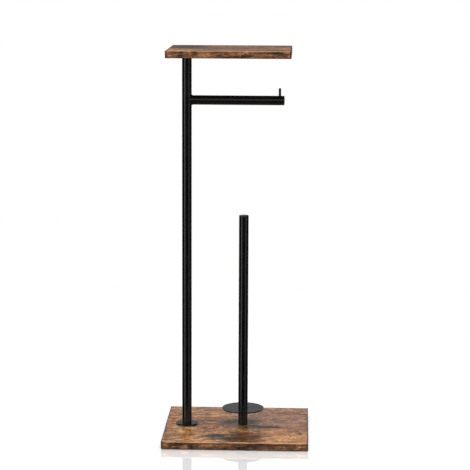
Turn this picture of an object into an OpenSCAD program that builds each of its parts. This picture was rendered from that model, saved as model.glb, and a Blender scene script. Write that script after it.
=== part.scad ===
// Toilet roll storage holder that stands on the floor. A round post rises from a board,
// carries an arm for the roll in use, and holds up a small shelf. Beside the post stands
// a rod with a rest disc, on which the spare rolls are stacked.
// X runs to the right, Y to the back and Z up. The origin is on the floor, under the
// middle of the base board. Every size is in millimetres.

/* [Overall] */
// Height of the shelf's top above the floor
total_h = 646; // [560:1:900]

/* [Base board] */
// Width of the base board, edge bands included
base_w = 240; // [220:1:340]
// Depth of the base board, edge bands included
base_d = 224; // [160:1:320]
// Thickness of the base board
base_t = 12; // [10:0.5:25]

/* [Shelf] */
// Width of the shelf, edge bands included
shelf_w = 201; // [160:1:300]
// Depth of the shelf, edge bands included
shelf_d = 170; // [100:1:240]
// Thickness of the shelf
shelf_t = 12; // [11:0.5:20]
// How far the shelf reaches past the post's centre on the left
shelf_overhang = 29.5; // [27:0.5:60]

/* [Edge bands] */
// Thickness of the edge bands glued round both boards
band_t = 2; // [1.5:0.1:3]
// Radius of the rounding trimmed along the edge bands
band_r = 1.2; // [0.5:0.1:1.5]

/* [Post] */
// Distance from the base's left edge to the post's centre
post_inset = 35.5; // [30:0.5:60]
// Outer diameter of the post
post_d = 16; // [16:0.5:20]
// Wall of the post's tube
post_wall = 1; // [0.8:0.1:1.5]
// Diameter of the foot flange
flange_d = 38; // [32:1:54]
// Thickness of the foot flange
flange_t = 2.5; // [1.5:0.1:5]
// Diameter of the plate under the shelf
plate_d = 50; // [44:1:52]
// Thickness of the plate under the shelf
plate_t = 2.5; // [2:0.1:4]
// Length of the plate's spigot inside the post
spigot_len = 14; // [8:1:30]

/* [Arm] */
// Height from the arm's centre up to the shelf's top
arm_drop = 85; // [70:1:200]
// Distance from the post's centre to the arm's free end
arm_reach = 160.5; // [130:0.5:200]
// Outer diameter of the arm
arm_d = 15.5; // [12:0.5:15.5]
// Wall of the arm's tube
arm_wall = 1; // [0.8:0.1:1.5]
// Leg of the weld bead between the arm and the post
weld_leg = 1.1; // [0.6:0.1:2]
// Thickness of the domed head of the arm's end cap
arm_cap_t = 3; // [2:0.1:5]
// Length of the end cap's stem inside the arm
arm_stem_len = 13; // [11:1:25]

/* [Stop pin] */
// Diameter of the stop pin
pin_d = 4; // [3:0.1:5]
// Height of the stop pin's tip above the arm
pin_rise = 12.5; // [8:0.5:30]
// Distance from the arm's free end to the pin's centre
pin_inset = 8; // [8:0.5:11]

/* [Spare roll rod] */
// Distance from the post's centre to the rod's centre
rod_offset = 94.5; // [80:0.5:120]
// Outer diameter of the rod
rod_d = 16; // [13:0.5:20]
// Wall of the rod's tube
rod_wall = 1; // [0.8:0.1:1.5]
// Height of the rod's top above the floor
rod_top_h = 370.5; // [250:0.5:460]
// Height of the spacer that lifts the rest disc off the base
spacer_h = 27.5; // [15:0.5:60]
// Diameter of the rest disc
disc_d = 70; // [54:1:90]
// Thickness of the rest disc
disc_t = 2; // [1.5:0.1:4]
// Thickness of the head of the rod's end cap
rod_cap_t = 3; // [2:0.1:6]
// Length of the end cap's stem inside the rod
rod_stem_len = 12; // [8:1:25]

/* [Bolts under the base] */
// Thread diameter of the bolt under the post
post_bolt_d = 8; // [6:1:8]
// Head diameter of the bolt under the post
post_bolt_head_d = 14; // [13:0.5:18]
// Head height of the bolt under the post
post_bolt_head_h = 4.4; // [3.5:0.1:5]
// Diameter of the washer under the post
post_washer_d = 20; // [16:0.5:24]
// Thread diameter of the bolt under the rod
rod_bolt_d = 6; // [5:1:6]
// Head diameter of the bolt under the rod
rod_bolt_head_d = 10.5; // [9.5:0.5:14]
// Head height of the bolt under the rod
rod_bolt_head_h = 3.3; // [2.5:0.1:4]
// Diameter of the washer under the rod
rod_washer_d = 16; // [12:0.5:20]
// Thickness of both washers
washer_t = 1.6; // [1:0.1:2]
// Depth to which the bolt heads lie inside the base's underside
head_sink = 0.6; // [0.2:0.1:1.5]
// Length of thread that a bolt has in its insert
grip_len = 13; // [8:1:16]
// Length of the threaded inserts
insert_len = 20; // [18:1:40]
// Depth to which an insert is set back in its tube
insert_setback = 1; // [0.5:0.1:3]

/* [Shelf screws] */
// Number of shelf screws
screw_count = 4; // [3:1:6]
// Diameter of the circle on which the shelf screws stand
screw_circle_d = 35; // [32:0.5:36]
// Diameter of the shelf screws
screw_d = 4; // [3:0.1:4.5]
// Head diameter of the shelf screws
screw_head_d = 7.6; // [6:0.1:7.8]
// Length of the shelf screws
screw_len = 12; // [8:0.5:12.5]

/* [Feet] */
// Diameter of an anti-slip pad
pad_d = 22; // [12:1:30]
// Thickness of an anti-slip pad
pad_t = 1.5; // [1:0.1:5]
// Distance from the base's edges to a pad's centre
pad_inset = 20; // [16:1:24]

/* [Clearances] */
// Radial gap round a bolt or screw in the hole that it passes through
hole_gap = 0.3; // [0.2:0.05:0.5]
// Radial gap between a thread and the hole that it is screwed into
thread_gap = 0.1; // [0.05:0.05:0.2]
// Radial gap between a part pressed into a tube and the tube's wall
press_gap = 0.05; // [0.02:0.01:0.15]
// Gap between the arm's coped end and the post, closed by the weld
root_gap = 0.2; // [0.1:0.05:0.4]

/* [Hidden] */
$fn = 96;
// Length by which a cutter stands out of what it cuts
over = 1;
// Chamfer on turned and pressed metal parts
edge = 0.5;

post_x = post_inset - base_w / 2;
rod_x = post_x + rod_offset;
arm_end_x = post_x + arm_reach;
pin_x = arm_end_x - pin_inset;
shelf_x = post_x - shelf_overhang + shelf_w / 2;

arm_h = total_h - arm_drop;
base_top_z = pad_t + base_t;
shelf_z = total_h - shelf_t;
plate_z = shelf_z - plate_t;
post_z = base_top_z + flange_t;
disc_z = base_top_z + spacer_h;
rod_z = disc_z + disc_t;
rod_cap_z = rod_top_h - rod_cap_t;

post_bore_r = post_d / 2 - post_wall;
arm_bore_r = arm_d / 2 - arm_wall;
rod_bore_r = rod_d / 2 - rod_wall;

// Depth of the recesses in the underside of the base
post_sink = head_sink + post_bolt_head_h + washer_t;
rod_sink = head_sink + rod_bolt_head_h + washer_t;

wood = "#9a6a42";
band_wood = "#6f4a2c";
black_paint = "#1c1c1e";
black_plastic = "#141415";
zinc = "#b9bcbf";
rubber = "#2b2b2b";

// Rectangle with its four corners rounded
module rounded_outline(w, d) {
    square([w - 2 * band_r, d], center = true);
    square([w, d - 2 * band_r], center = true);
    for (sx = [-1, 1], sy = [-1, 1])
        translate([sx * (w / 2 - band_r), sy * (d / 2 - band_r)]) circle(r = band_r);
}

// Outer form of a banded board, rounded along all its edges, standing on z = 0
module board_form(w, d, t) {
    intersection() {
        linear_extrude(t) rounded_outline(w, d);
        translate([0, d / 2, t / 2]) rotate([90, 0, 0]) linear_extrude(d) rounded_outline(w, t);
        translate([-w / 2, 0, t / 2]) rotate([90, 0, 90]) linear_extrude(w) rounded_outline(d, t);
    }
}

// The board inside its edge bands
module board_core(w, d, t) {
    translate([band_t - w / 2, band_t - d / 2, 0]) cube([w - 2 * band_t, d - 2 * band_t, t]);
}

// Edge band over the full width, at the front (side -1) or at the back (side 1)
module long_band(w, d, t, side) {
    intersection() {
        board_form(w, d, t);
        translate([-w / 2, side * (d - band_t) / 2 - band_t / 2, 0]) cube([w, band_t, t]);
    }
}

// Edge band between the long ones, on the left (side -1) or on the right (side 1)
module short_band(w, d, t, side) {
    intersection() {
        board_form(w, d, t);
        translate([side * (w - band_t) / 2 - band_t / 2, band_t - d / 2, 0])
            cube([band_t, d - 2 * band_t, t]);
    }
}

// Round tube standing on z = 0
module tube(outer_r, inner_r, len) {
    difference() {
        cylinder(r = outer_r, h = len);
        translate([0, 0, -over]) cylinder(r = inner_r, h = len + 2 * over);
    }
}

// Thick ring with chamfered outer edges, standing on z = 0
module chamfered_ring(outer_r, inner_r, len) {
    rotate_extrude() polygon([
        [inner_r, 0], [outer_r - edge, 0], [outer_r, edge],
        [outer_r, len - edge], [outer_r - edge, len], [inner_r, len]
    ]);
}

// Bolt with a domed head and a hexagon socket. The flat side of the head is on z = 0,
// and the thread points up.
module domed_bolt(d, head_d, head_h, len) {
    tip = d / 8;
    dome_r = head_d * 0.62;
    socket_w = d * 0.62;
    socket_h = head_h * 0.6;
    difference() {
        union() {
            intersection() {
                translate([0, 0, -head_h]) cylinder(d = head_d, h = head_h);
                translate([0, 0, dome_r - head_h]) sphere(r = dome_r);
            }
            rotate_extrude() polygon([
                [0, -edge], [d / 2, -edge], [d / 2, len - tip], [d / 2 - tip, len], [0, len]
            ]);
        }
        translate([0, 0, -head_h - over])
            cylinder(d = socket_w / cos(30), h = socket_h + over, $fn = 6);
    }
}

// Steel insert with a threaded bore and a waist, standing on z = 0
module threaded_insert(r, bolt_d) {
    waist = 0.5;
    waist_lo = insert_len * 0.35;
    waist_hi = insert_len * 0.65;
    rotate_extrude() polygon([
        [bolt_d / 2 + thread_gap, 0], [r - edge, 0], [r, edge], [r, waist_lo],
        [r - waist, waist_lo + waist], [r - waist, waist_hi - waist], [r, waist_hi],
        [r, insert_len - edge], [r - edge, insert_len], [bolt_d / 2 + thread_gap, insert_len]
    ]);
}

// Bolt hole up through the base, with a recess below for the washer and the head
module bolt_recess(x, bolt_d, washer_d, sink) {
    translate([x, 0, pad_t - over]) {
        cylinder(r = bolt_d / 2 + hole_gap, h = base_t + 2 * over);
        cylinder(r = washer_d / 2 + hole_gap, h = sink + over);
    }
}

// Repeats what it is given at each shelf screw
module at_shelf_screws() {
    for (i = [0 : screw_count - 1])
        translate([post_x, 0, 0]) rotate([0, 0, 45 + i * 360 / screw_count])
            translate([screw_circle_d / 2, 0, 0]) children();
}

// Countersunk screw that points up, with its head's flat side on z = 0
module countersunk_screw() {
    head_h = (screw_head_d - screw_d) / 2;
    tip_h = screw_d * 0.8;
    slot_w = screw_d * 0.25;
    slot_len = screw_head_d * 0.55;
    difference() {
        rotate_extrude() polygon([
            [0, 0], [screw_head_d / 2, 0], [screw_d / 2, head_h], [screw_d / 2, screw_len - tip_h],
            [screw_d / 8, screw_len], [0, screw_len]
        ]);
        for (turn = [0, 90])
            rotate([0, 0, turn]) translate([-slot_len / 2, -slot_w / 2, -over])
                cube([slot_len, slot_w, over + head_h * 0.7]);
    }
}

module base_board() color(wood)
    difference() {
        translate([0, 0, pad_t]) board_core(base_w, base_d, base_t);
        bolt_recess(post_x, post_bolt_d, post_washer_d, post_sink);
        bolt_recess(rod_x, rod_bolt_d, rod_washer_d, rod_sink);
    }

module base_band_front() color(band_wood)
    translate([0, 0, pad_t]) long_band(base_w, base_d, base_t, -1);

module base_band_back() color(band_wood)
    translate([0, 0, pad_t]) long_band(base_w, base_d, base_t, 1);

module base_band_left() color(band_wood)
    translate([0, 0, pad_t]) short_band(base_w, base_d, base_t, -1);

module base_band_right() color(band_wood)
    translate([0, 0, pad_t]) short_band(base_w, base_d, base_t, 1);

// Four anti-slip pads under the corners of the base
module foot_pads() color(rubber)
    for (sx = [-1, 1], sy = [-1, 1])
        translate([sx * (base_w / 2 - pad_inset), sy * (base_d / 2 - pad_inset), 0])
            cylinder(d = pad_d, h = pad_t);

// Shelf with a blind hole for each screw
module shelf_board() color(wood)
    difference() {
        translate([shelf_x, 0, shelf_z]) board_core(shelf_w, shelf_d, shelf_t);
        at_shelf_screws() translate([0, 0, shelf_z - over])
            cylinder(r = screw_d / 2 + thread_gap, h = over + screw_len - plate_t + hole_gap);
    }

module shelf_band_front() color(band_wood)
    translate([shelf_x, 0, shelf_z]) long_band(shelf_w, shelf_d, shelf_t, -1);

module shelf_band_back() color(band_wood)
    translate([shelf_x, 0, shelf_z]) long_band(shelf_w, shelf_d, shelf_t, 1);

module shelf_band_left() color(band_wood)
    translate([shelf_x, 0, shelf_z]) short_band(shelf_w, shelf_d, shelf_t, -1);

module shelf_band_right() color(band_wood)
    translate([shelf_x, 0, shelf_z]) short_band(shelf_w, shelf_d, shelf_t, 1);

module post_tube() color(black_paint)
    translate([post_x, 0, post_z]) tube(post_d / 2, post_bore_r, plate_z - post_z);

// Round foot of the post, with a rim that slopes down to the board
module post_foot_flange() color(black_paint) {
    r = flange_d / 2;
    hole_r = post_bolt_d / 2 + hole_gap;
    rim = flange_t * 0.45;
    translate([post_x, 0, base_top_z]) rotate_extrude() polygon([
        [hole_r, 0], [r, 0], [r, flange_t - rim], [r - rim, flange_t], [hole_r, flange_t]
    ]);
}

module post_insert() color(zinc)
    translate([post_x, 0, post_z + insert_setback])
        threaded_insert(post_bore_r - press_gap, post_bolt_d);

// Bolt from below that clamps the base and the flange to the post
module post_bolt() color(zinc)
    translate([post_x, 0, pad_t + post_sink - washer_t])
        domed_bolt(post_bolt_d, post_bolt_head_d, post_bolt_head_h,
            washer_t + base_t - post_sink + flange_t + insert_setback + grip_len);

module post_washer() color(zinc)
    translate([post_x, 0, pad_t + post_sink - washer_t])
        tube(post_washer_d / 2, post_bolt_d / 2 + hole_gap, washer_t);

// Plate under the shelf, with a spigot pressed into the post and countersunk screw holes
module shelf_plate() color(black_paint) {
    spigot_r = post_bore_r - press_gap;
    hole_r = screw_d / 2 + hole_gap;
    mouth_r = screw_head_d / 2 + hole_gap;
    difference() {
        translate([post_x, 0, plate_z]) rotate_extrude() polygon([
            [0, -spigot_len], [spigot_r - edge, -spigot_len], [spigot_r, edge - spigot_len],
            [spigot_r, 0], [plate_d / 2 - edge, 0], [plate_d / 2, edge],
            [plate_d / 2, plate_t], [0, plate_t]
        ]);
        at_shelf_screws() translate([0, 0, plate_z]) {
            translate([0, 0, -over]) cylinder(r = hole_r, h = plate_t + 2 * over);
            cylinder(r1 = mouth_r, r2 = hole_r, h = mouth_r - hole_r);
        }
    }
}

module shelf_screws() color(zinc)
    at_shelf_screws() translate([0, 0, plate_z]) countersunk_screw();

// Puts what stands on z = 0 on the arm's axis, with z = 0 at the given x
module along_arm(x) {
    translate([x, 0, arm_h]) rotate([0, 90, 0]) children();
}

// Arm with its end coped to the post and a hole through its top for the stop pin
module arm_tube() color(black_paint)
    difference() {
        along_arm(post_x) tube(arm_d / 2, arm_bore_r, arm_reach - arm_cap_t);
        translate([post_x, 0, arm_h - arm_d])
            cylinder(r = post_d / 2 + root_gap, h = 2 * arm_d);
        translate([pin_x, 0, arm_h]) cylinder(r = pin_d / 2 + press_gap, h = arm_d);
    }

// Weld bead that follows the saddle line where the arm meets the post
module arm_weld_bead() color(black_paint)
    difference() {
        intersection() {
            along_arm(post_x) cylinder(r = arm_d / 2 + weld_leg, h = post_d);
            translate([post_x, 0, arm_h - arm_d])
                cylinder(r = post_d / 2 + weld_leg, h = 2 * arm_d);
        }
        along_arm(post_x - over) cylinder(r = arm_d / 2, h = post_d + 2 * over);
        translate([post_x, 0, arm_h - arm_d - over])
            cylinder(r = post_d / 2, h = 2 * arm_d + 2 * over);
    }

// End cap with a softly domed head. The stop pin passes through its stem and locks it.
module arm_end_cap() color(black_plastic) {
    r = arm_d / 2;
    stem_r = arm_bore_r - press_gap;
    dome_r = arm_d * 1.5;
    dome_steps = 6;
    dome = [for (i = [0 : dome_steps])
        let (y = r * (1 - i / dome_steps))
        [y, arm_cap_t - dome_r + sqrt(pow(dome_r, 2) - pow(y, 2))]];
    difference() {
        along_arm(arm_end_x - arm_cap_t) rotate_extrude() polygon(concat(
            [[0, -arm_stem_len], [stem_r - edge, -arm_stem_len], [stem_r, edge - arm_stem_len],
            [stem_r, 0], [r, 0]], dome));
        translate([pin_x, 0, arm_h - arm_d]) cylinder(r = pin_d / 2 + press_gap, h = 2 * arm_d);
    }
}

// Pin that keeps the roll on the arm. It stands on the inner wall of the tube.
module arm_stop_pin() color(black_paint) {
    seat_z = arm_h - sqrt(pow(arm_bore_r, 2) - pow(pin_d / 2, 2));
    top_z = arm_h + arm_d / 2 + pin_rise;
    tip_r = pin_d * 0.6;
    intersection() {
        translate([pin_x, 0, seat_z]) cylinder(d = pin_d, h = top_z - seat_z);
        union() {
            translate([pin_x, 0, top_z - tip_r]) sphere(r = tip_r);
            translate([pin_x - pin_d, -pin_d, seat_z])
                cube([2 * pin_d, 2 * pin_d, top_z - tip_r - seat_z]);
        }
    }
}

module rod_tube() color(black_paint)
    translate([rod_x, 0, rod_z]) tube(rod_d / 2, rod_bore_r, rod_cap_z - rod_z);

// Flat end cap with a barbed stem pressed into the rod
module rod_end_cap() color(black_plastic) {
    r = rod_d / 2;
    top_edge = 0.8;
    barb = 0.8;
    stem_r = rod_bore_r - press_gap;
    barb_count = 3;
    barb_step = rod_stem_len / barb_count;
    translate([rod_x, 0, rod_cap_z]) {
        rotate_extrude() polygon([
            [0, -rod_stem_len], [stem_r - barb, -rod_stem_len], [stem_r - barb, 0],
            [r, 0], [r, rod_cap_t - top_edge], [r - top_edge, rod_cap_t], [0, rod_cap_t]
        ]);
        for (i = [1 : barb_count])
            translate([0, 0, -i * barb_step])
                cylinder(r1 = stem_r - barb, r2 = stem_r, h = barb_step * 0.7);
    }
}

module rod_insert() color(zinc)
    translate([rod_x, 0, rod_z + insert_setback])
        threaded_insert(rod_bore_r - press_gap, rod_bolt_d);

// Turned spacer that lifts the rest disc off the base
module rod_spacer() color(black_paint)
    translate([rod_x, 0, base_top_z])
        chamfered_ring(rod_d / 2, rod_bolt_d / 2 + hole_gap, spacer_h);

// Disc on which the lowest spare roll rests
module roll_rest_disc() color(black_paint)
    translate([rod_x, 0, disc_z])
        chamfered_ring(disc_d / 2, rod_bolt_d / 2 + hole_gap, disc_t);

// Long bolt from below that clamps the base, the spacer and the disc to the rod
module rod_bolt() color(zinc)
    translate([rod_x, 0, pad_t + rod_sink - washer_t])
        domed_bolt(rod_bolt_d, rod_bolt_head_d, rod_bolt_head_h,
            washer_t + base_t - rod_sink + spacer_h + disc_t + insert_setback + grip_len);

module rod_washer() color(zinc)
    translate([rod_x, 0, pad_t + rod_sink - washer_t])
        tube(rod_washer_d / 2, rod_bolt_d / 2 + hole_gap, washer_t);

base_board();
base_band_front();
base_band_back();
base_band_left();
base_band_right();
foot_pads();
shelf_board();
shelf_band_front();
shelf_band_back();
shelf_band_left();
shelf_band_right();
post_tube();
post_foot_flange();
post_insert();
post_bolt();
post_washer();
shelf_plate();
shelf_screws();
arm_tube();
arm_weld_bead();
arm_end_cap();
arm_stop_pin();
rod_tube();
rod_end_cap();
rod_insert();
rod_spacer();
roll_rest_disc();
rod_bolt();
rod_washer();
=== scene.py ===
import bpy
import bmesh
from math import radians, pi, sin, cos, sqrt, atan2
from mathutils import Matrix, Vector


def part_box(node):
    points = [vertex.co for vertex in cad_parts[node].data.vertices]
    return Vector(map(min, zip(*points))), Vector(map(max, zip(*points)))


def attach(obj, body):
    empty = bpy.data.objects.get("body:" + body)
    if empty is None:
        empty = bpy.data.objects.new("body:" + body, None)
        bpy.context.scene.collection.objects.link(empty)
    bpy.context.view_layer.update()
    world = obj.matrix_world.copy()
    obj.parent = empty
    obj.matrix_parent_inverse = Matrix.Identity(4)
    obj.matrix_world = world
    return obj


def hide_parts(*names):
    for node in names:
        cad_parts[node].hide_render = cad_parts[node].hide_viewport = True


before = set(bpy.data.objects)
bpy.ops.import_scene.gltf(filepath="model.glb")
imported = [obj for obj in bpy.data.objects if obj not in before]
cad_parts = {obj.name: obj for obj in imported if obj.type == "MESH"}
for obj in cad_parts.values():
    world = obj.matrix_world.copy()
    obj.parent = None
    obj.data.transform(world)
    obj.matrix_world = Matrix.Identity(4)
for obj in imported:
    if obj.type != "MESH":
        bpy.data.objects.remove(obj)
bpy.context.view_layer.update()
scene = bpy.context.scene
mm = 0.001
print("frame loaded:", len(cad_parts), "nodes")

viewpoint = {
    "place": (0.10610, -2.87473, 0.80974),  # metres
    "yaw": -0.03849,  # radians, to the right of straight ahead
    "pitch": 0.16279,  # radians, downwards
    "roll": 0.00407,
    "lens": 134.63,
    "sensor": 36,
    "farthest": 30,
}


def placeCamera():
    yaw, pitch, roll = viewpoint["yaw"], viewpoint["pitch"], viewpoint["roll"]
    ahead = Vector((sin(yaw) * cos(pitch), cos(yaw) * cos(pitch), -sin(pitch)))
    level = Vector((cos(yaw), -sin(yaw), 0))
    upright = level.cross(ahead)
    right = level * cos(roll) + upright * sin(roll)
    up = upright * cos(roll) - level * sin(roll)
    axes = Matrix((right, up, -ahead)).transposed()
    data = bpy.data.cameras.new("photoCamera")
    data.lens = viewpoint["lens"]
    data.sensor_width = viewpoint["sensor"]
    data.clip_end = viewpoint["farthest"]
    camera = bpy.data.objects.new("photoCamera", data)
    camera.matrix_world = Matrix.Translation(viewpoint["place"]) @ axes.to_4x4()
    scene.collection.objects.link(camera)
    scene.camera = camera


# One shader node with its settings and inputs; an input is a value or another node's output
def put(tree, kind, feeds=None, out=0, **settings):
    node = tree.nodes.new(kind)
    for key, value in settings.items():
        setattr(node, key, value)
    for key, value in (feeds or {}).items():
        if isinstance(value, bpy.types.NodeSocket):
            tree.links.new(value, node.inputs[key])
        else:
            node.inputs[key].default_value = value
    return node.outputs[out] if node.outputs else node


def calc(tree, operation, a, b=0.0, c=0.0, clamp=False):
    return put(tree, "ShaderNodeMath", {0: a, 1: b, 2: c}, operation=operation, use_clamp=clamp)


def vectorCalc(tree, operation, a, b=(0, 0, 0), out=0):
    return put(tree, "ShaderNodeVectorMath", {0: a, 1: b}, out=out, operation=operation)


# Smooth step of a value from one limit to the other
def fade(tree, value, start, end, low=0.0, high=1.0):
    feeds = {0: value, 1: start, 2: end, 3: low, 4: high}
    return put(tree, "ShaderNodeMapRange", feeds, interpolation_type="SMOOTHSTEP")


# One colour over another, by a factor
def layer(tree, factor, under, over, how="MIX"):
    feeds = {0: factor, 6: under, 7: over}
    return put(tree, "ShaderNodeMix", feeds, out=2, data_type="RGBA", blend_type=how)


def noise(tree, place, scale, detail, rough, warp=0.0, out=0):
    feeds = {"Vector": place, "Scale": scale, "Detail": detail, "Roughness": rough, "Distortion": warp}
    return put(tree, "ShaderNodeTexNoise", feeds, out=out)


# Where a point of the surface lies, in metres
def objectPlace(tree):
    return put(tree, "ShaderNodeTexCoord", out=3)


# A colour picked on the screen, as the shader wants it
def tint(*levels):
    linear = []
    for level in levels:
        share = level / 255
        linear.append(((share + 0.055) / 1.055) ** 2.4 if level > 10 else share / 12.92)
    return (*linear, 1.0)


def newMaterial(name):
    material = bpy.data.materials.new(name)
    material.use_nodes = True
    return material, material.node_tree, material.node_tree.nodes["Principled BSDF"]


# Gives a shader its colour, its roughness and a bump
def dress(tree, shader, colour, roughness, height, strength, depth):
    bump = put(tree, "ShaderNodeBump", {"Strength": strength, "Distance": depth, "Height": height})
    tree.links.new(colour, shader.inputs["Base Color"])
    tree.links.new(roughness, shader.inputs["Roughness"])
    tree.links.new(bump, shader.inputs["Normal"])


softboxes = [
    # name, place, aim, width, height, watts, seen in gloss
    ("topSoftbox", (0.1, -0.2, 2.3), (0, 0, 0.2), 1.9, 1.9, 58, False),
    ("frontFill", (0.35, -2.3, 1.6), (0, 0, 0.3), 1.8, 1.2, 34, False),
    ("backFill", (-0.3, 2.3, 1.6), (0, 0, 0.3), 1.8, 1.2, 20, False),
    ("leftStrip", (-1.36, -1.18, 0.15), (0, 0, 0.15), 0.60, 3.0, 11.5, True),
    ("rightStrip", (1.46, -1.05, 0.15), (0, 0, 0.15), 0.56, 3.0, 5.5, True),
    ("rearLeftStrip", (-0.90, 1.56, 0.15), (0, 0, 0.15), 0.55, 3.0, 4.5, True),
    ("rearRightStrip", (0.90, 1.56, 0.15), (0, 0, 0.15), 0.55, 3.0, 4.5, True),
]


def placeSoftboxes():
    for name, place, aim, width, height, watts, inGloss in softboxes:
        data = bpy.data.lights.new(name, "AREA")
        data.shape = "RECTANGLE"
        data.size = width
        data.size_y = height
        data.energy = watts
        light = bpy.data.objects.new(name, data)
        light.location = place
        light.rotation_euler = (Vector(aim) - Vector(place)).to_track_quat("-Z", "Y").to_euler()
        light.visible_camera = False
        light.visible_glossy = inGloss
        scene.collection.objects.link(light)


studio = {
    "backdrop": (0.42, 0.95),  # brightness of the low ring of light behind the holder and in front of it
    "sweep": (0.2, -0.6),  # depths between which the ring goes from one to the other
    "ring": (0.02, 0.10, 0.27, 0.60),  # sines of the heights at which the ring comes in and goes out
    "upper": 0.05,  # share of the ring's light that is left above it
    "lift": 0.08,  # the ring lies this much higher behind
    "liftSweep": (-0.2, 0.6),  # depths between which it rises
    "below": (-0.30, -0.60, 0.0, 0.13),  # light from well below, for the undersides
}


def lightRoom():
    world = bpy.data.worlds.new("paleRoom")
    world.use_nodes = True
    scene.world = world
    tree = world.node_tree
    tree.nodes.clear()
    back = put(tree, "ShaderNodeSeparateXYZ", {0: put(tree, "ShaderNodeTexCoord")}, out=1)
    up = back.node.outputs[2]
    lowStart, lowEnd, highStart, highEnd = studio["ring"]
    lift = fade(tree, back, *studio["liftSweep"], 0.0, studio["lift"])
    height = calc(tree, "SUBTRACT", up, lift)
    rise = fade(tree, height, lowStart, lowEnd)
    fall = fade(tree, height, highStart, highEnd, 1.0, studio["upper"])
    level = fade(tree, back, *studio["sweep"], *studio["backdrop"])
    ring = calc(tree, "MULTIPLY", calc(tree, "MULTIPLY", rise, fall), level)
    glow = calc(tree, "ADD", ring, fade(tree, up, *studio["below"]))
    room = put(tree, "ShaderNodeBackground", {0: (1, 1, 1, 1), 1: glow})
    plainWhite = put(tree, "ShaderNodeBackground", {0: (1, 1, 1, 1), 1: 1.0})
    direct = put(tree, "ShaderNodeLightPath")  # the backdrop itself is seen plain white
    both = put(tree, "ShaderNodeMixShader", {0: direct, 1: room, 2: plainWhite})
    put(tree, "ShaderNodeOutputWorld", {0: both})


floorLook = {
    "radius": 1.5,
    "segments": 96,
    "level": -0.05 * mm,  # just below the pads, so that it doesn't share their lower faces
    "white": (0.9, 0.9, 0.9, 1),
    "mirror": (2.0, 2.1, 2.14, 1),  # above 1, so that the dim ring still reads white in the floor
    "polish": 0.03,
    "grazing": (0.2, 0.65),  # how flat the floor is seen where its mirror image comes in
    "share": (0.05, 0.44),  # strength of the mirror image seen from above and seen flat
    "edge": (0.45, 1.35),  # metres from the middle between which the floor fades out
}


def layFloor():
    bm = bmesh.new()
    bmesh.ops.create_circle(bm, cap_ends=True, segments=floorLook["segments"], radius=floorLook["radius"])
    mesh = bpy.data.meshes.new("floor")
    bm.to_mesh(mesh)
    bm.free()
    floor = bpy.data.objects.new("floor", mesh)
    floor.location.z = floorLook["level"]
    floor.visible_glossy = False
    scene.collection.objects.link(floor)
    material = bpy.data.materials.new("paleFloor")
    material.use_nodes = True
    tree = material.node_tree
    tree.nodes.clear()
    flat = put(tree, "ShaderNodeBsdfDiffuse", {0: floorLook["white"]})
    gloss = put(tree, "ShaderNodeBsdfGlossy", {0: floorLook["mirror"], 1: floorLook["polish"]})
    facing = put(tree, "ShaderNodeLayerWeight", out=1)
    share = fade(tree, facing, *floorLook["grazing"], *floorLook["share"])
    surface = put(tree, "ShaderNodeMixShader", {0: share, 1: flat, 2: gloss})
    reach = vectorCalc(tree, "LENGTH", objectPlace(tree), out=1)
    clear = put(tree, "ShaderNodeBsdfTransparent")
    both = put(tree, "ShaderNodeMixShader", {0: fade(tree, reach, *floorLook["edge"]), 1: surface, 2: clear})
    put(tree, "ShaderNodeOutputMaterial", {0: both})
    mesh.materials.append(material)


scene.view_settings.view_transform = "Standard"
placeCamera()
placeSoftboxes()
lightRoom()
layFloor()
print("camera, light and floor ready")

# Tones of the wood-look laminate, and the painted highlight of a band's upper arris
tan, amber, russet = tint(190, 136, 80), tint(170, 118, 70), tint(146, 92, 58)
mauve, ash, soot = tint(134, 98, 80), tint(96, 78, 66), tint(46, 36, 33)
umber, chestnut, paintedArrisHighlight = tint(64, 40, 25), tint(104, 68, 40), tint(182, 142, 108)


# A bolt's recess in the base's underside: x, y and a radius with some room round the washer
def recess(washer, room=0.6 * mm):
    low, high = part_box(washer)
    return (low.x + high.x) / 2, (low.y + high.y) / 2, (high.x - low.x) / 2 + room


# Each board and its bands have their own stretch of the print. The bark and crack sizes say how often
# these repeat in a metre, along and across. A mark is x, y, z in mm, its three half sizes, its tone and
# its strength. A rim is the painted highlight or painted shade of a band's upper arris and how strongly
# it shows.
baseWood = {
    "recesses": [recess("post_washer"), recess("rod_washer")],
    "move": (0.31, 0.07, 0.0),
    "gloss": 0.5,
    "tones": [(0.24, mauve), (0.40, russet), (0.50, amber), (0.62, tan), (0.78, amber)],
    "bark": (104, 130),
    "cracks": (46, 118),
    "deep": 0.28,  # darkness of the cracks
    "faint": 0.80,  # darkness of the cracks where the print is calm
    "calm": ((0.0, 0.06), (-0.01, 0.09)),  # metres in x and in y over which it grows calm
    "marks": [
        (75, 48, 13, (90, 70, 30), mauve, 0.8),
        (-55, 82, 13, (75, 30, 30), tint(152, 108, 78), 0.6),
        (-25, 20, 13, (60, 10, 30), ash, 0.75),
        (-13, 15, 13, (14, 12, 30), soot, 0.75),
        (24, 20, 13, (24, 11, 30), soot, 0.6),
        (44, -15, 13, (28, 11, 30), soot, 1.0),
        (-100, -60, 13, (26, 50, 30), amber, 0.5),
        (-112, 20, 13, (9, 90, 30), tint(172, 106, 56), 0.6),
        (-30, -45, 13, (34, 20, 30), russet, 0.6),
        # painted reflection of the rod's foot in the glossy top
        (6, -80, 13, (46, 34, 30), tint(84, 54, 37), 0.85),
        (85, -80, 13, (34, 26, 30), tan, 0.45),
        (-34, -72, 13, (20, 9, 30), soot, 0.95),
        (-8, -84, 13, (18, 9, 30), soot, 0.6),
        (107, -55, 13, (3, 9, 30), soot, 0.8),
        (-53, 60, 13, (7, 8, 30), soot, 0.5),
        (-114, -97, 13, (5, 9, 30), soot, 0.8),
    ],
}
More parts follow.
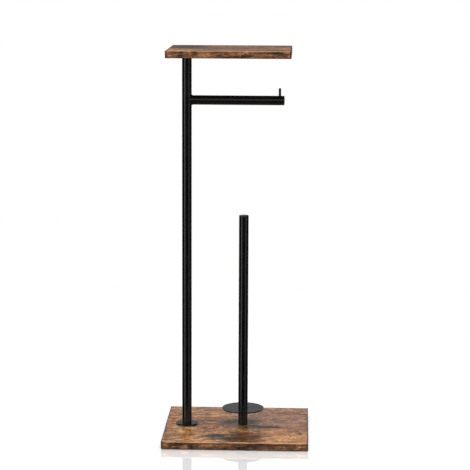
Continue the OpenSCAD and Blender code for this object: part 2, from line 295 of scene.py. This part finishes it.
shelfWood = {
    "move": (0.72, 0.35, 0.1),
    "gloss": 0.25,
    "tones": [
        (0.24, umber), (0.40, chestnut), (0.52, tint(132, 84, 52)),
        (0.64, tint(150, 104, 62)), (0.80, chestnut),
    ],
    "bark": (80, 120),
    "cracks": (34, 105),
    "deep": 0.36,
    "marks": [
        (-86, 42, 640, (36, 56, 30), soot, 0.95),
        (-96, -64, 640, (32, 20, 30), tan, 0.7),
        (60, 70, 640, (44, 16, 30), soot, 0.9),
        (76, -10, 640, (24, 34, 30), amber, 0.6),
        (-30, 0, 640, (50, 16, 30), ash, 0.5),
        (66, -66, 640, (20, 8, 30), soot, 0.6),
    ],
}
baseBand = {
    "box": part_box("base_band_front"),
    # painted highlight on the long bands' upper arris, painted shade on the short bands'
    "paintedArrisLight": {"long": (paintedArrisHighlight, 0.75), "short": (umber, 0.75)},
    "move": (0.13, 0.44, 0.21),
    "gloss": 0.5,
    "tones": [
        (0.28, tint(76, 50, 32)), (0.46, tint(118, 80, 50)),
        (0.60, tint(138, 98, 62)), (0.78, tint(98, 66, 42)),
    ],
    "streaks": (0.62, 1.46),
    "bark": (50, 300),
    "cracks": (40, 190),
    "deep": 0.40,
    "marks": [
        (-72, -112, 5, (5, 6, 5), soot, 0.9),
        (-98, -112, 9, (15, 6, 3), umber, 0.6),
        (-42, -112, 9, (18, 6, 4), tint(140, 98, 66), 0.6),
        (-24, -112, 11, (9, 6, 3), ash, 0.7),
        (22, -112, 4, (17, 6, 4), soot, 0.6),
        (72, -112, 9, (46, 6, 7), umber, 0.55),
    ],
}
shelfBand = {
    "box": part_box("shelf_band_front"),
    # painted highlight on the long bands' upper arris, painted shade on the short bands'
    "paintedArrisLight": {"long": (paintedArrisHighlight, 0.45), "short": (umber, 0.75)},
    "move": (0.55, 0.12, 0.66),
    "gloss": 0.5,
    "tones": [
        (0.28, umber), (0.46, chestnut),
        (0.60, tint(124, 84, 50)), (0.78, tint(84, 54, 32)),
    ],
    "streaks": (0.64, 1.34),
    "bark": (50, 300),
    "cracks": (40, 190),
    "deep": 0.40,
    "marks": [
        (-89, -85, 639, (6, 6, 8), soot, 0.85),
        (-108, -85, 638, (7, 6, 7), tint(128, 82, 62), 0.7),
        (-66, -85, 642, (6, 6, 5), umber, 0.7),
        (-44, -85, 638, (10, 6, 5), tint(136, 92, 60), 0.6),
        (14, -85, 637, (9, 6, 6), soot, 0.65),
        (66, -85, 644, (13, 6, 2.5), soot, 0.6),
        (62, -85, 638, (28, 6, 3), tint(130, 82, 50), 0.5),
    ],
}
# Layers of the print. Size: how often one repeats in a metre, along and across, where the print itself
# doesn't say. Noise: detail, roughness and warp. Span: the part of the noise that counts. Tone: what the
# colour is multiplied by at the two ends of the span.
grains = {
    "patches": {"size": (11, 27), "noise": (6.0, 0.65, 0.5)},
    "veins": {"size": (27, 80), "noise": (7.0, 0.72, 0.8), "span": (0.38, 0.62), "tone": (0.58, 1.26)},
    "bark": {"noise": (3.5, 0.6, 0.3), "span": (0.34, 0.58), "tone": (0.60, 1.14)},
    "cracks": {"noise": (4.0, 0.6, 0.5), "span": (0.006, 0.055)},
    "streaks": {"size": (16, 340), "noise": (3.0, 0.6, 0.3), "span": (0.34, 0.66)},
    "sawMarks": {"size": (250, 46), "noise": (3.0, 0.6, 0.4), "span": (0.36, 0.66), "tone": (0.76, 1.20)},
    "lines": {"size": (70, 950), "noise": (3.0, 0.55, 0.0), "span": (0.30, 0.70), "tone": (0.80, 1.18)},
    "pores": {"size": (60, 480), "noise": (3.0, 0.55, 0.0)},
}
middleLevel = 0.5  # of every noise
laminate = {
    "wander": {"noise": (16.0, 4.0, 0.55), "reach": (0.03, 0.012, 0.012)},  # of the whole grain
    "betweenCracks": 1.08,
    "pores": (0.64, 0.70, 0.0, 0.5),
    "markRagged": 2.2,
    "markEdge": (1.25, 0.6),  # in half sizes of the mark, where it comes in and where it is full
    "roughness": (0.3, 0.7, 0.34, 0.24),
    "lineRelief": 0.4,
    "sawRelief": 0.5,
    "bump": (0.2, 0.4 * mm),
}
chipboard = {"colour": tint(176, 142, 100), "chips": 420.0, "contrast": 0.25}
# Painted light of the edge bands: where it comes in and is full, from the top, the foot and the ends, and its
# strength there. The top arris gets a painted highlight or painted shade, the foot and the ends painted shade
paintedBandLight = {
    "arris": (1.3 * mm, 0.7 * mm),
    "patchy": (0.30, 0.52, 0.45, 1.15),
    "foot": (1.6 * mm, 0.4 * mm, 0.0, 0.7),
    "ends": (3.4 * mm, 1.8 * mm, 0.0, 0.95),
}


# One layer of the print: noise stretched along the board, as a number from 0 to 1
def grain(tree, place, name, size=None):
    along, across = size or grains[name]["size"]
    stretched = put(tree, "ShaderNodeMapping", {0: place, 3: (along, across, across)})
    return noise(tree, stretched, 1.0, *grains[name]["noise"])


# Colour made darker and lighter by a layer of the print
def shade(tree, colour, name, value, tone=None):
    factor = fade(tree, value, *grains[name]["span"], *(tone or grains[name]["tone"]))
    grey = put(tree, "ShaderNodeCombineXYZ", {0: factor, 1: factor, 2: factor})
    return layer(tree, 1.0, colour, grey, "MULTIPLY")


# The grain's own place: turned across the board on the short bands, and wandering a little
def grainPlace(tree, metres, look, turned):
    wander = laminate["wander"]
    place = put(tree, "ShaderNodeMapping", {0: metres, 1: look["move"], 2: (0, 0, pi / 2 if turned else 0)})
    push = noise(tree, place, *wander["noise"], out=1)
    push = vectorCalc(tree, "SUBTRACT", push, (middleLevel, middleLevel, middleLevel))
    push = vectorCalc(tree, "MULTIPLY", push, wander["reach"])
    return vectorCalc(tree, "ADD", place, push)


def patchColour(tree, place, look):
    ramp = put(tree, "ShaderNodeValToRGB", {0: grain(tree, place, "patches")})
    stops = ramp.node.color_ramp.elements
    for index, (position, tone) in enumerate(look["tones"]):
        stop = stops[index] if index < 2 else stops.new(position)
        stop.position = position
        stop.color = tone
    return ramp


# The broad marks, ragged along the veins
def addMarks(tree, colour, metres, look, veins):
    ragged = calc(tree, "MULTIPLY", calc(tree, "SUBTRACT", veins, middleLevel), laminate["markRagged"])
    for x, y, z, halves, tone, strength in look["marks"]:
        off = vectorCalc(tree, "SUBTRACT", metres, (x * mm, y * mm, z * mm))
        off = vectorCalc(tree, "MULTIPLY", off, tuple(1 / (half * mm) for half in halves))
        far = calc(tree, "ADD", ragged, vectorCalc(tree, "LENGTH", off, out=1))
        colour = layer(tree, fade(tree, far, *laminate["markEdge"], 0.0, strength), colour, tone)
    return colour


# The thin cracks follow the middle level of their noise
def addCracks(tree, colour, metres, place, look):
    cracks = grain(tree, place, "cracks", look["cracks"])
    cracks = calc(tree, "ABSOLUTE", calc(tree, "SUBTRACT", cracks, middleLevel))
    deep = look["deep"]
    if "calm" in look:  # they grow faint towards the right and towards the back
        right, back = look["calm"]
        x = put(tree, "ShaderNodeSeparateXYZ", {0: metres})
        y = x.node.outputs[1]
        calm = calc(tree, "MAXIMUM", fade(tree, y, *back), fade(tree, x, *right))
        deep = calc(tree, "MULTIPLY_ADD", calm, look["faint"] - deep, deep)
    return shade(tree, colour, "cracks", cracks, (deep, laminate["betweenCracks"]))


# Bare chipboard in the bolt recesses
def addRecesses(tree, colour, metres, look):
    for x, y, radius in look.get("recesses", ()):
        off = vectorCalc(tree, "SUBTRACT", metres, (x, y, 0))
        off = vectorCalc(tree, "MULTIPLY", off, (1, 1, 0))
        inside = calc(tree, "LESS_THAN", vectorCalc(tree, "LENGTH", off, out=1), radius)
        chips = put(tree, "ShaderNodeTexVoronoi", {"Vector": metres, "Scale": chipboard["chips"]}, out=1)
        chips = layer(tree, chipboard["contrast"], chipboard["colour"], chips, "MULTIPLY")
        colour = layer(tree, inside, colour, chips)
    return colour


# Painted highlight or painted shade on an edge band's upper arris, painted shade at its foot and at a long
# band's ends
def addPaintedBandLight(tree, colour, metres, look, bark, band):
    low, high = look["box"]
    # the rim is a painted highlight on a long band's arris and painted shade on a short band's, made patchy
    # by the bark
    rim, arrisLightStrength = look["paintedArrisLight"][band]
    x = put(tree, "ShaderNodeSeparateXYZ", {0: metres})
    level = x.node.outputs[2]
    start, full = paintedBandLight["arris"]
    paintedArris = fade(tree, level, high.z - start, high.z - full, 0.0, arrisLightStrength)
    paintedArris = calc(tree, "MULTIPLY", paintedArris, fade(tree, bark, *paintedBandLight["patchy"]), clamp=True)
    colour = layer(tree, paintedArris, colour, rim)
    # painted shade at the band's foot
    start, full, none, most = paintedBandLight["foot"]
    colour = layer(tree, fade(tree, level, low.z + start, low.z + full, none, most), colour, umber)
    if band == "short":
        return colour
    # painted shade at a long band's ends
    start, full, none, most = paintedBandLight["ends"]
    end = calc(tree, "ABSOLUTE", calc(tree, "SUBTRACT", x, (low.x + high.x) / 2))
    half = (high.x - low.x) / 2
    return layer(tree, fade(tree, end, half - start, half - full, none, most), colour, umber)


# The print of a board, or of its long or short bands
def woodPrint(name, look, band=None):
    material, tree, shader = newMaterial(name)
    metres = objectPlace(tree)
    place = grainPlace(tree, metres, look, turned=band == "short")
    veins = grain(tree, place, "veins")
    bark = grain(tree, place, "bark", look["bark"])
    sawMarks = grain(tree, place, "sawMarks")
    lines = grain(tree, place, "lines")
    colour = addMarks(tree, patchColour(tree, place, look), metres, look, veins)
    colour = shade(tree, colour, "veins", veins)
    colour = shade(tree, colour, "bark", bark)
    colour = addCracks(tree, colour, metres, place, look)
    if "streaks" in look:
        colour = shade(tree, colour, "streaks", grain(tree, place, "streaks"), look["streaks"])
    colour = shade(tree, colour, "sawMarks", sawMarks)
    colour = shade(tree, colour, "lines", lines)
    pores = fade(tree, grain(tree, place, "pores"), *laminate["pores"])
    colour = layer(tree, pores, colour, soot)
    colour = addRecesses(tree, colour, metres, look)
    if band:
        colour = addPaintedBandLight(tree, colour, metres, look, bark, band)
    relief = calc(tree, "MULTIPLY_ADD", sawMarks, laminate["sawRelief"], bark)
    relief = calc(tree, "MULTIPLY_ADD", lines, laminate["lineRelief"], relief)
    roughness = fade(tree, veins, *laminate["roughness"])
    dress(tree, shader, colour, roughness, relief, *laminate["bump"])
    shader.inputs["Specular IOR Level"].default_value = look["gloss"]
    return material


# A noise of these finishes is how often it repeats in a metre, its detail and its roughness. A fade is
# the part of the noise that counts and what that turns into. A bump is its strength and its depth.
coat = {
    "colour": (0.0016, 0.0016, 0.0018, 1),
    "worn": (0.0042, 0.0041, 0.0041, 1),
    "wornFade": (0.35, 0.75, 0.0, 0.5),
    "dust": (0.009, 0.009, 0.0095, 1),
    "dustFade": (0.68, 0.76, 0.0, 0.3),
    "roughness": (0.3, 0.7, 0.19, 0.24),
    "clouds": (60.0, 3.0, 0.5),
    "peel": (1000.0, 2.0, 0.5),
    "specks": (2600.0, 1.0, 0.5),
    "bump": (0.03, 0.1 * mm),
}


def powderCoat(name):
    material, tree, shader = newMaterial(name)
    place = objectPlace(tree)
    clouds = noise(tree, place, *coat["clouds"])
    peel = noise(tree, place, *coat["peel"])
    specks = noise(tree, place, *coat["specks"])
    colour = layer(tree, fade(tree, clouds, *coat["wornFade"]), coat["colour"], coat["worn"])
    colour = layer(tree, fade(tree, specks, *coat["dustFade"]), colour, coat["dust"])
    dress(tree, shader, colour, fade(tree, clouds, *coat["roughness"]), peel, *coat["bump"])
    return material


plastic = {
    "colours": ((0.0060, 0.0060, 0.0064, 1), (0.0095, 0.0095, 0.0100, 1)),
    "roughness": (0.3, 0.7, 0.17, 0.23),
    "clouds": (120.0, 2.0, 0.5),
    "texture": (1400.0, 3.0, 0.6),
    "bump": (0.08, 0.1 * mm),
}


def mouldedPlastic(name):
    material, tree, shader = newMaterial(name)
    place = objectPlace(tree)
    clouds = noise(tree, place, *plastic["clouds"])
    texture = noise(tree, place, *plastic["texture"])
    colour = layer(tree, clouds, *plastic["colours"])
    dress(tree, shader, colour, fade(tree, clouds, *plastic["roughness"]), texture, *plastic["bump"])
    return material


zinc = {
    "colours": ((0.42, 0.43, 0.45, 1), (0.70, 0.71, 0.72, 1)),
    "roughness": (0.3, 0.7, 0.26, 0.42),
    "bloom": (260.0, 4.0, 0.6),
    "marks": (900.0, 2.0, 0.5),
    "markStretch": (1, 1, 9),
    "bump": (0.12, 0.1 * mm),
}


def zincPlate(name):
    material, tree, shader = newMaterial(name)
    place = objectPlace(tree)
    bloom = noise(tree, place, *zinc["bloom"])
    stretched = put(tree, "ShaderNodeMapping", {0: place, 3: zinc["markStretch"]})
    marks = noise(tree, stretched, *zinc["marks"])
    colour = layer(tree, bloom, *zinc["colours"])
    dress(tree, shader, colour, fade(tree, bloom, *zinc["roughness"]), marks, *zinc["bump"])
    shader.inputs["Metallic"].default_value = 1.0
    return material


foam = {
    "colours": ((0.018, 0.018, 0.018, 1), (0.036, 0.035, 0.034, 1)),
    "roughness": (0.3, 0.7, 0.78, 0.92),
    "gloss": 0.3,
    "clouds": (180.0, 3.0, 0.6),
    "cells": 1500.0,  # in a metre
    "bump": (0.35, 0.2 * mm),
}


def foamRubber(name):
    material, tree, shader = newMaterial(name)
    place = objectPlace(tree)
    clouds = noise(tree, place, *foam["clouds"])
    cells = put(tree, "ShaderNodeTexVoronoi", {"Vector": place, "Scale": foam["cells"]})
    colour = layer(tree, clouds, *foam["colours"])
    dress(tree, shader, colour, fade(tree, clouds, *foam["roughness"]), cells, *foam["bump"])
    shader.inputs["Specular IOR Level"].default_value = foam["gloss"]
    return material


finishes = {
    "baseWood": woodPrint("baseWoodPrint", baseWood),
    "shelfWood": woodPrint("shelfWoodPrint", shelfWood),
    "baseLongBand": woodPrint("baseLongEdgePrint", baseBand, "long"),
    "baseShortBand": woodPrint("baseShortEdgePrint", baseBand, "short"),
    "shelfLongBand": woodPrint("shelfLongEdgePrint", shelfBand, "long"),
    "shelfShortBand": woodPrint("shelfShortEdgePrint", shelfBand, "short"),
    "black_paint": powderCoat("blackPowderCoat"),
    "black_plastic": mouldedPlastic("blackMouldedPlastic"),
    "zinc_steel": zincPlate("zincPlatedSteel"),
    "pad_rubber": foamRubber("foamRubber"),
}
print("finishes ready")

joining = 0.002 * mm  # corners nearer to each other than this become one
nearby = 0.1 * mm  # an edge this near to a face lies in it
largeFaces = 80  # how much large faces outweigh small ones in the shading, in percent


# Closes a mesh, smooths it, and hands it over as the piece that stands for a node; edges bent by more
# degrees than the crease stay sharp
def finish(bm, name, node, slotName, finishName=None, crease=32):
    bmesh.ops.remove_doubles(bm, verts=bm.verts, dist=joining)
    bmesh.ops.recalc_face_normals(bm, faces=bm.faces)
    for face in bm.faces:
        face.smooth = True
    for edge in bm.edges:
        edge.smooth = not edge.is_manifold or edge.calc_face_angle(0) < radians(crease)
    mesh = bpy.data.meshes.new(name)
    bm.to_mesh(mesh)
    bm.free()
    piece = bpy.data.objects.new(name, mesh)
    scene.collection.objects.link(piece)
    mesh.materials.append(finishes[finishName or slotName])
    weighted = piece.modifiers.new("flatFaces", "WEIGHTED_NORMAL")
    weighted.keep_sharp = True
    weighted.weight = largeFaces
    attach(piece, "root")
    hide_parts(node)


# Turns a line of (radius, distance along the axis) points round an upright or a lying axis
def revolve(bm, points, centre, steps, lying=False, closed=False):
    centre = Vector(centre)
    corners = [bm.verts.new(centre + Vector((h, 0, r) if lying else (r, 0, h))) for r, h in points]
    lines = [bm.edges.new(pair) for pair in zip(corners, corners[1:])]
    if closed:
        lines.append(bm.edges.new((corners[-1], corners[0])))
    axis = (1, 0, 0) if lying else (0, 0, 1)
    outline = corners + lines
    bmesh.ops.spin(bm, geom=outline, cent=centre, axis=axis, angle=2 * pi, steps=steps, use_merge=True)
    bmesh.ops.remove_doubles(bm, verts=bm.verts, dist=joining)


# A rounding is a radius and its number of segments
def roundEdges(bm, edges, rounding):
    radius, segments = rounding
    bmesh.ops.bevel(bm, geom=edges, offset=radius, offset_type="OFFSET", segments=segments, profile=0.5,
                    affect="EDGES", clamp_overlap=True, material=-1)


def isSharp(edge, degrees=30):
    return edge.is_manifold and edge.calc_face_angle(0) > radians(degrees)


# Rounds the sharp edges that lie wholly above a height; along="x" measures to the right instead
def roundAbove(bm, rounding, limit, along="z", degrees=30):
    def lowest(edge):
        return min(getattr(vert.co, along) for vert in edge.verts)

    roundEdges(bm, [e for e in bm.edges if isSharp(e, degrees) and lowest(e) > limit], rounding)


def roundBelow(bm, rounding, limit):
    edges = [e for e in bm.edges if isSharp(e) and max(vert.co.z for vert in e.verts) < limit]
    roundEdges(bm, edges, rounding)


bands = {
    "rounding": (1.2 * mm, 5),
    "joint": (0.10 * mm, 1),  # chamfer beside the board, which draws the joint line
    "sides": {"front": (0, -1, 0), "back": (0, 1, 0), "left": (-1, 0, 0), "right": (1, 0, 0)},
}


def makeBand(board, side):
    node = f"{board}_band_{side}"
    low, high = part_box(node)
    middle, size = (low + high) / 2, high - low
    isLong = side in ("front", "back")
    outward = Vector(bands["sides"][side])
    sideways = Vector((-outward.y, outward.x, 0))
    upward = Vector((0, 0, 1))

    def faceOf(edge, way):  # 1 on the face that looks this way, -1 on the one behind it, 0 between them
        halfway = (edge.verts[0].co + edge.verts[1].co) / 2
        return round((halfway - middle).dot(way) / (abs(size.dot(way)) / 2))

    bm = bmesh.new()
    bmesh.ops.create_cube(bm, size=1)
    bmesh.ops.scale(bm, vec=size, verts=bm.verts)
    bmesh.ops.translate(bm, vec=middle, verts=bm.verts)
    outer, inner = [], []
    for edge in bm.edges:
        across = faceOf(edge, outward)
        atRim = faceOf(edge, upward) != 0
        atEnd = faceOf(edge, sideways) != 0
        if (across == 1 and (atRim or isLong)) or (across == 0 and isLong and atEnd and atRim):
            outer.append(edge)
        elif across == -1 and atRim:
            inner.append(edge)
    roundEdges(bm, inner, bands["joint"])
    roundEdges(bm, [edge for edge in outer if edge.is_valid], bands["rounding"])
    finishName = f"{board}LongBand" if isLong else f"{board}ShortBand"
    finish(bm, f"{board}{side.capitalize()}Band", node, "edge_band", finishName)


for board in ("base", "shelf"):
    for side in bands["sides"]:
        makeBand(board, side)
print("edge bands made")

tube = {"steps": 128, "endRounding": (0.25 * mm, 2), "wall": 1.0 * mm}


# The post and the rod
def makeTube(name, node):
    low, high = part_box(node)
    outer, half = (high.x - low.x) / 2, (high.z - low.z) / 2
    inner = outer - tube["wall"]
    bm = bmesh.new()
    points = [(outer, -half), (outer, half), (inner, half), (inner, -half)]
    revolve(bm, points, (low + high) / 2, tube["steps"], closed=True)
    roundAbove(bm, tube["endRounding"], low.z - nearby)  # both ends
    finish(bm, name, node, "black_paint")


# The middle of a node's lower face
def footOf(low, high):
    return (low.x + high.x) / 2, (low.y + high.y) / 2, low.z


flange = {
    "bore": 4.3 * mm,
    "rim": 0.45,  # share of the thickness that slopes at the rim
    "rounding": (0.45 * mm, 4),
    "footRounding": (0.15 * mm, 2),
    "steps": 144,
}


def makeFlange():
    low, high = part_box("post_foot_flange")
    radius, thick = (high.x - low.x) / 2, high.z - low.z
    bore, slope = flange["bore"], thick * flange["rim"]
    bm = bmesh.new()
    points = [(bore, 0), (radius, 0), (radius, thick - slope), (radius - slope, thick), (bore, thick)]
    revolve(bm, points, footOf(low, high), flange["steps"], closed=True)
    roundBelow(bm, flange["footRounding"], low.z + nearby)
    roundAbove(bm, flange["rounding"], high.z - slope - nearby)
    finish(bm, "postFootFlange", "post_foot_flange", "black_paint")


makeTube("postTube", "post_tube")
makeTube("spareRollRod", "rod_tube")
makeFlange()
print("tubes and flange made")

arm = {
    "steps": 144,
    "rings": 12,
    "wall": 1.0 * mm,
    "rootGap": 0.2 * mm,  # between the coped end and the post
    "endRounding": (0.12 * mm, 1),
}
postLow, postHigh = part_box("post_tube")
armLow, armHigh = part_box("arm_tube")
postRadius, armRadius = (postHigh.x - postLow.x) / 2, (armHigh.z - armLow.z) / 2
hub = Vector(((postLow.x + postHigh.x) / 2, 0, (armLow.z + armHigh.z) / 2))  # where the two axes meet


# Distance from the post's axis at which a point beside the arm's axis meets a round of that radius
def saddle(beside, radius):
    return sqrt(max(radius * radius - beside * beside, 0))


def makeArm():
    reach = armHigh.x - hub.x
    outer, inner = armRadius, armRadius - arm["wall"]
    stations = [reach * i / arm["rings"] for i in range(arm["rings"] + 1)]
    points = [(outer, x) for x in stations] + [(inner, x) for x in reversed(stations)]
    bm = bmesh.new()
    revolve(bm, points, hub, arm["steps"], lying=True, closed=True)
    for vert in bm.verts:  # the near end is coped to the post, and the shift dies out along the arm
        along = vert.co.x - hub.x
        vert.co.x += saddle(vert.co.y, postRadius + arm["rootGap"]) * max(0, 1 - along / reach)
    roundAbove(bm, arm["endRounding"], armHigh.x - nearby, along="x")
    finish(bm, "rollArm", "arm_tube", "black_paint")


weld = {
    "steps": 352,
    "sides": 12,
    "ripples": 44,
    "bead": 0.78 * mm,  # radius of the bead
    "out": 0.28 * mm,  # how far its middle stands off both tubes
    "wave": 0.10 * mm,
    "lean": 0.035,  # how far the ripples lean over, in radians
    "crease": 70,
}


def makeWeld():
    ringRadius = armRadius + weld["out"]
    bm = bmesh.new()
    bmesh.ops.create_circle(bm, segments=weld["sides"], radius=weld["bead"])
    bmesh.ops.rotate(bm, cent=(0, 0, 0), matrix=Matrix.Rotation(pi / 2, 3, "X"), verts=bm.verts)
    bmesh.ops.translate(bm, vec=hub + Vector((0, 0, ringRadius)), verts=bm.verts)
    bead = bm.verts[:] + bm.edges[:]
    bmesh.ops.spin(bm, geom=bead, cent=hub, axis=(1, 0, 0), angle=2 * pi, steps=weld["steps"], use_merge=True)
    for vert in bm.verts:  # each ring moves to the saddle line and swells with the ripples
        local = vert.co - hub
        around = atan2(local.z, local.y)
        ring = Vector((0, cos(around), sin(around))) * ringRadius
        offset = local - ring
        leaning = around + weld["lean"] * offset.x / weld["bead"]
        wave = abs(sin(leaning * weld["ripples"] / 2))
        offset *= 1 - weld["wave"] / weld["bead"] * (1 - wave)
        ahead = Vector((saddle(ring.y, postRadius + 2 * weld["out"]), 0, 0))
        vert.co = hub + ahead + ring + offset
    finish(bm, "armWeldBead", "arm_weld_bead", "black_paint", crease=weld["crease"])


armCap = {
    "head": 3.0 * mm,
    "flatness": 7,  # radius of the dome, times the arm's radius
    "rings": 10,
    "rounding": (0.5 * mm, 4),
    "sharp": 50,  # degrees; edges that bend less than this aren't rounded
    "joint": 0.22 * mm,  # chamfer at the tube, which draws the joint line
    "ease": 0.05 * mm,  # between the stem and the tube
    "stemChamfer": 0.5 * mm,
}


def makeArmCap():
    low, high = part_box("arm_end_cap")
    radius, head, joint, chamfer = armRadius, armCap["head"], armCap["joint"], armCap["stemChamfer"]
    stem = radius - arm["wall"] - armCap["ease"]
    back = low.x - high.x + head
    dome = radius * armCap["flatness"]
    reaches = [radius * (1 - i / armCap["rings"]) for i in range(armCap["rings"] + 1)]
    points = [(0, back), (stem - chamfer, back), (stem, back + chamfer)]
    points += [(stem, 0), (radius - joint, 0), (radius, joint)]
    points += [(r, head - dome + sqrt(dome * dome - r * r)) for r in reaches]
    bm = bmesh.new()
    revolve(bm, points, (high.x - head, hub.y, hub.z), arm["steps"], lying=True)
    roundAbove(bm, armCap["rounding"], high.x - head / 2, along="x", degrees=armCap["sharp"])
    finish(bm, "armEndCap", "arm_end_cap", "black_plastic")


pin = {
    "tip": (1.15 * mm, 6),
    "steps": 64,
    "pool": 0.38 * mm,  # how far the pool of paint at the foot spreads
    "poolOutline": [(0, -0.7), (1, -0.6), (0.8, 0), (0.3, 0.25), (0, 0.6)],  # share of it, height in mm
    "crease": 60,
}


def makeStopPin():
    low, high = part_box("arm_stop_pin")
    radius, top = (high.x - low.x) / 2, high.z - low.z
    foot = hub.z + armRadius - low.z  # where the pin comes out of the arm
    points = [(0, 0), (radius, 0)]
    points += [(radius + pin["pool"] * share, foot + height * mm) for share, height in pin["poolOutline"]]
    points += [(radius, top), (0, top)]
    bm = bmesh.new()
    revolve(bm, points, footOf(low, high), pin["steps"])
    roundAbove(bm, pin["tip"], high.z - nearby)
    finish(bm, "armStopPin", "arm_stop_pin", "black_paint", crease=pin["crease"])


makeArm()
makeWeld()
makeArmCap()
makeStopPin()
print("arm made")

rodCap = {
    "rounding": (0.8 * mm, 5),
    "joint": 0.22 * mm,
    "ease": 0.05 * mm,
    "barbs": 3,
    "barbDepth": 0.8 * mm,
    "barbFoot": 0.01 * mm,
    "barbRise": 0.7,  # share of the pitch over which a barb widens
    "steps": 128,
}


def makeRodCap():
    low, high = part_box("rod_end_cap")
    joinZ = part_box("rod_tube")[1].z  # the tube's upper end, where the head sits
    radius, head, joint = (high.x - low.x) / 2, high.z - joinZ, rodCap["joint"]
    stem = radius - tube["wall"] - rodCap["ease"]
    core = stem - rodCap["barbDepth"]
    bottom = low.z - joinZ
    pitch = -bottom / rodCap["barbs"]
    points = [(0, bottom), (core, bottom)]
    for i in range(rodCap["barbs"]):
        foot = bottom + pitch * i
        wide = foot + pitch * rodCap["barbRise"]
        points += [(core, foot + rodCap["barbFoot"]), (stem, wide), (core, wide)]
    points += [(core, 0), (radius - joint, 0), (radius, joint), (radius, head), (0, head)]
    bm = bmesh.new()
    revolve(bm, points, ((low.x + high.x) / 2, (low.y + high.y) / 2, joinZ), rodCap["steps"])
    roundAbove(bm, rodCap["rounding"], high.z - nearby)
    finish(bm, "rodEndCap", "rod_end_cap", "black_plastic")


spacer = {"bore": 3.3 * mm, "rounding": (0.45 * mm, 4), "steps": 128}
restDisc = {"bore": 3.3 * mm, "rounding": (0.5 * mm, 4), "steps": 192}


# The spacer and the rest disc, which the rod's bolt holds
def makeRing(name, node, ring):
    low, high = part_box(node)
    radius, height, bore = (high.x - low.x) / 2, high.z - low.z, ring["bore"]
    centre = Vector(footOf(low, high))
    bm = bmesh.new()
    points = [(bore, 0), (radius, 0), (radius, height), (bore, height)]
    revolve(bm, points, centre, ring["steps"], closed=True)
    halfway = (bore + radius) / 2  # the bore's own edges stay sharp
    edges = [e for e in bm.edges if isSharp(e) and (e.verts[0].co.xy - centre.xy).length > halfway]
    roundEdges(bm, edges, ring["rounding"])
    finish(bm, name, node, "black_paint")


makeRodCap()
makeRing("rodSpacer", "rod_spacer", spacer)
makeRing("rollRestDisc", "roll_rest_disc", restDisc)
print("rod made")

pads = {"rounding": (0.35 * mm, 3), "diameter": 22 * mm, "steps": 72}


def makePads():
    low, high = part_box("foot_pads")
    radius, thick = pads["diameter"] / 2, high.z - low.z
    bm = bmesh.new()
    for x in (low.x + radius, high.x - radius):
        for y in (low.y + radius, high.y - radius):
            revolve(bm, [(0, 0), (radius, 0), (radius, thick), (0, thick)], (x, y, low.z), pads["steps"])
    roundBelow(bm, pads["rounding"], low.z + nearby)
    finish(bm, "antiSlipPads", "foot_pads", "pad_rubber")


makePads()
print("pads made")

# CAD solids that keep their own mesh and get their finish here
kept = {
    "baseWood": ["base_board"],
    "shelfWood": ["shelf_board"],
    "black_paint": ["shelf_plate"],
    "zinc_steel": [
        "shelf_screws", "post_insert", "post_bolt", "post_washer", "rod_insert", "rod_bolt", "rod_washer",
    ],
}
for finishName, nodes in kept.items():
    for node in nodes:
        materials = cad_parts[node].data.materials
        if not materials:
            materials.append(None)
        for index in range(len(materials)):
            materials[index] = finishes[finishName]
print("finishes on the CAD pieces")
